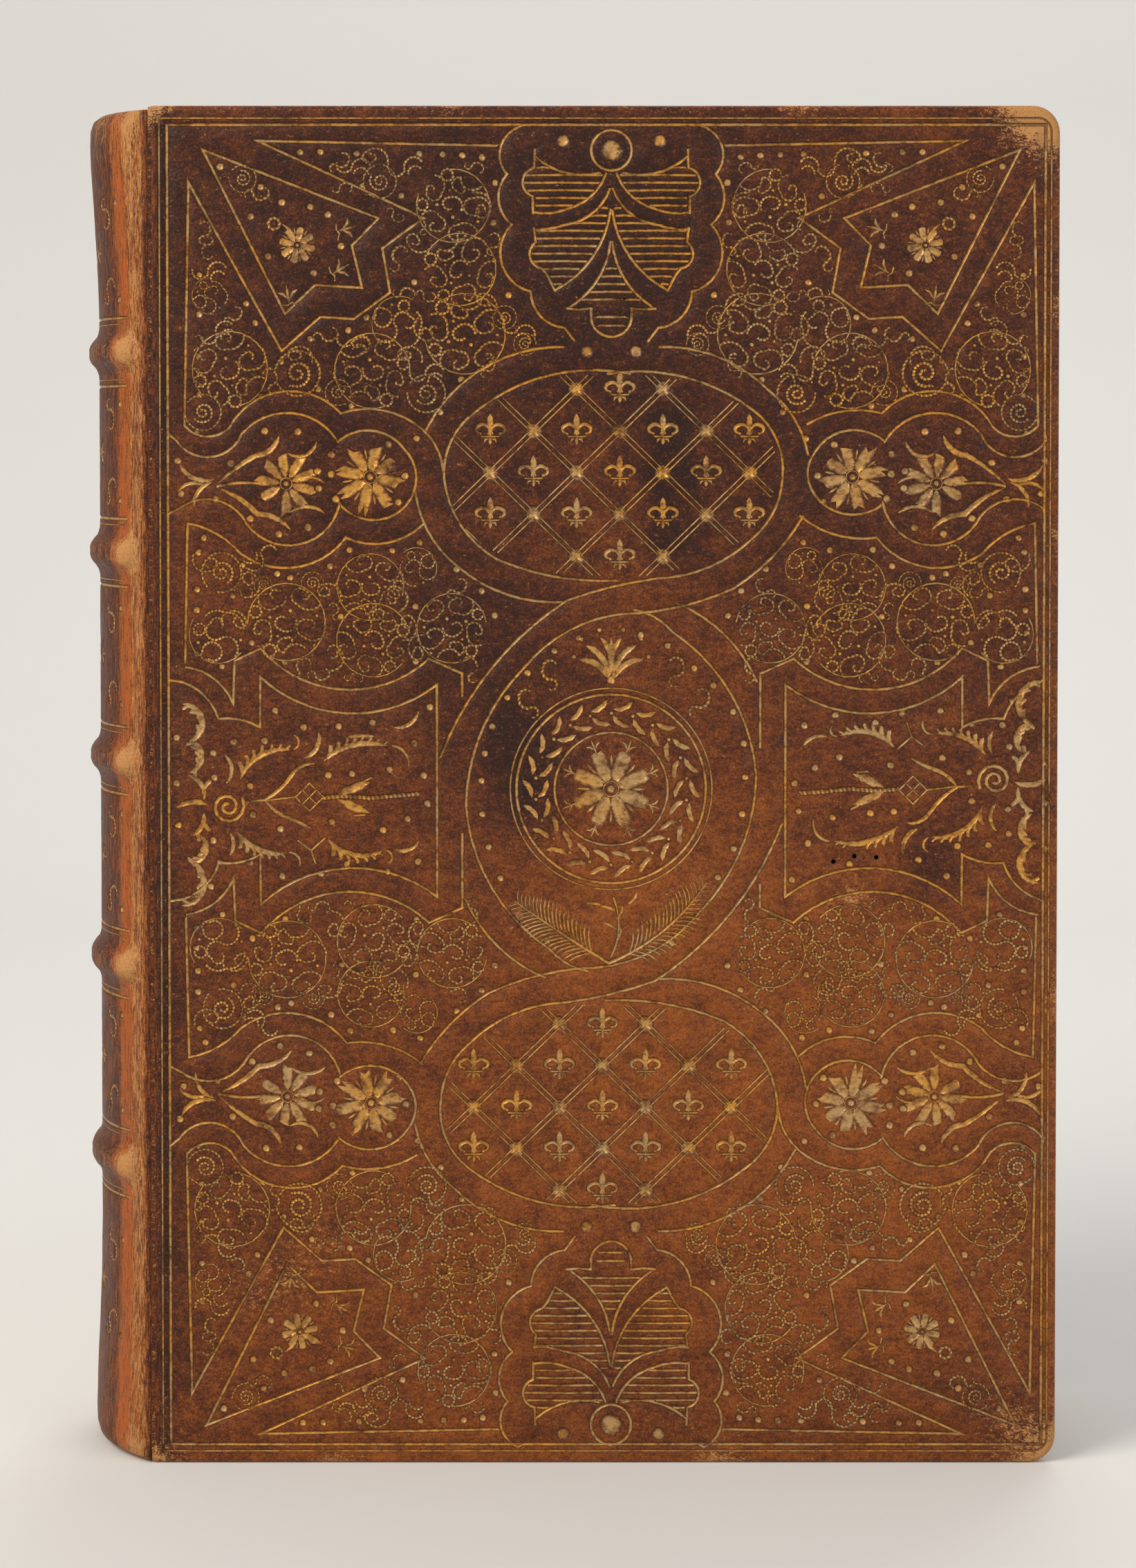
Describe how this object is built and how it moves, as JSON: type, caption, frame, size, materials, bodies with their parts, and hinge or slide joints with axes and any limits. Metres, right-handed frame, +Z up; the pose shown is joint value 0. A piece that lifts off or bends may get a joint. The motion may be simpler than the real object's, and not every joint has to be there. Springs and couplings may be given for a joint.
{
  "type": "antique leather book",
  "caption": "Tall antique book in a full leather binding, with raised bands on a rounded spine, strapwork tooled into both covers and covers that open on the joints.",
  "frame": {"origin": "middle of the book's box at the covers' tail edges, where the book stands", "axes": "+Z up from tail to head, +X from the spine to the fore-edge, front cover facing -Y"},
  "size_m": [0.2536, 0.064, 0.351],
  "materials": {
    "binding_leather": "aged brown calf, tooled in gold",
    "leaves": "aged leaves with dulled gilt edges",
    "endpaper": "aged laid paper",
    "pasteboard": "grey-brown pasteboard",
    "parchment": "glued parchment strips",
    "hemp_cord": "laid hemp cord",
    "silk": "wound silk thread"
  },
  "bodies": {
    "book_block": {"text_block": "leaves", "front_flyleaf": "endpaper", "back_flyleaf": "endpaper", "spine_lining_1": "parchment", "spine_lining_2": "parchment", "spine_lining_3": "parchment", "spine_lining_4": "parchment", "spine_lining_5": "parchment", "spine_lining_6": "parchment", "sewing_cord_1": "hemp_cord", "sewing_cord_2": "hemp_cord", "sewing_cord_3": "hemp_cord", "sewing_cord_4": "hemp_cord", "sewing_cord_5": "hemp_cord", "head_endband": "silk", "tail_endband": "silk", "spine_leather": "binding_leather"},
    "front_cover": {"front_board": "pasteboard", "front_leather": "binding_leather", "front_pastedown": "endpaper", "front_slips": "hemp_cord"},
    "back_cover": {"back_board": "pasteboard", "back_leather": "binding_leather", "back_pastedown": "endpaper", "back_slips": "hemp_cord"}
  },
  "joints": [
    {"name": "front_cover_hinge", "type": "hinge", "parent": "book_block", "child": "front_cover", "pos_m": [-0.10755, -0.032, 0.1755], "axis": [0, 0, -1], "range_deg": [0, 180]},
    {"name": "back_cover_hinge", "type": "hinge", "parent": "book_block", "child": "back_cover", "pos_m": [-0.10755, 0.032, 0.1755], "axis": [0, 0, 1], "range_deg": [0, 180]}
  ]
}
